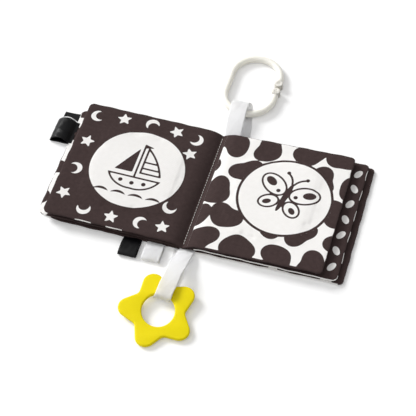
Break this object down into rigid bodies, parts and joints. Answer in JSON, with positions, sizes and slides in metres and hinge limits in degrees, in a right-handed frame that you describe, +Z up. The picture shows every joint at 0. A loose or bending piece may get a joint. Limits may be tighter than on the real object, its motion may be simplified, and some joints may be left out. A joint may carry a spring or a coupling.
{
  "type": "high-contrast baby book",
  "caption": "Soft cloth book with high-contrast print, satin tag loops, a hanging ring and a star-shaped teether on ribbons, lying open at its middle.",
  "frame": {"origin": "on the table under the middle of the spine", "axes": "+X across the spine to the right half, +Y along the spine to the ring, +Z up from the table"},
  "size_m": [0.299, 0.3414, 0.0139],
  "materials": {
    "dark_cloth": "dark brown-black printed woven polyester, matt",
    "white_cloth": "white printed woven polyester, matt",
    "black_satin": "black satin ribbon, glossy across its threads",
    "white_satin": "white satin ribbon",
    "ivory_plastic": "moulded ivory plastic, softly glossy",
    "yellow_silicone": "moulded yellow silicone, satin"
  },
  "bodies": {
    "right_half": {"right_cover": "dark_cloth", "right_pages": "white_cloth", "ring_ribbon": "white_satin", "teether_ribbon": "white_satin", "right_patch_print": "dark_cloth", "right_butterfly_print": "dark_cloth", "right_margin_print": "dark_cloth"},
    "left_half": {"left_cover": "white_cloth", "left_pages": "dark_cloth", "black_ribbon_tag": "black_satin", "white_ribbon_tag": "white_satin", "side_ribbon_tag": "black_satin", "side_ribbon_lining": "white_satin", "left_disc_print": "white_cloth", "left_sky_print": "white_cloth", "left_boat_print": "dark_cloth", "cover_patch_print": "dark_cloth"},
    "ring": {"hanging_ring": "ivory_plastic"},
    "teether": {"teether": "yellow_silicone"}
  },
  "joints": [
    {"name": "book_close", "type": "hinge", "parent": "right_half", "child": "left_half", "pos_m": [0, 0, 0.0109], "axis": [0, 1, 0], "range_deg": [0, 175]},
    {"name": "ring_swing", "type": "hinge", "parent": "right_half", "child": "ring", "pos_m": [0.009, 0.09725, 0.00405], "axis": [1, 0, 0], "range_deg": [0, 110]},
    {"name": "teether_swing", "type": "hinge", "parent": "right_half", "child": "teether", "pos_m": [0.00053, -0.1134, 0.00673], "axis": [-0.9959, 0.0906, 0], "range_deg": [0, 18]}
  ]
}
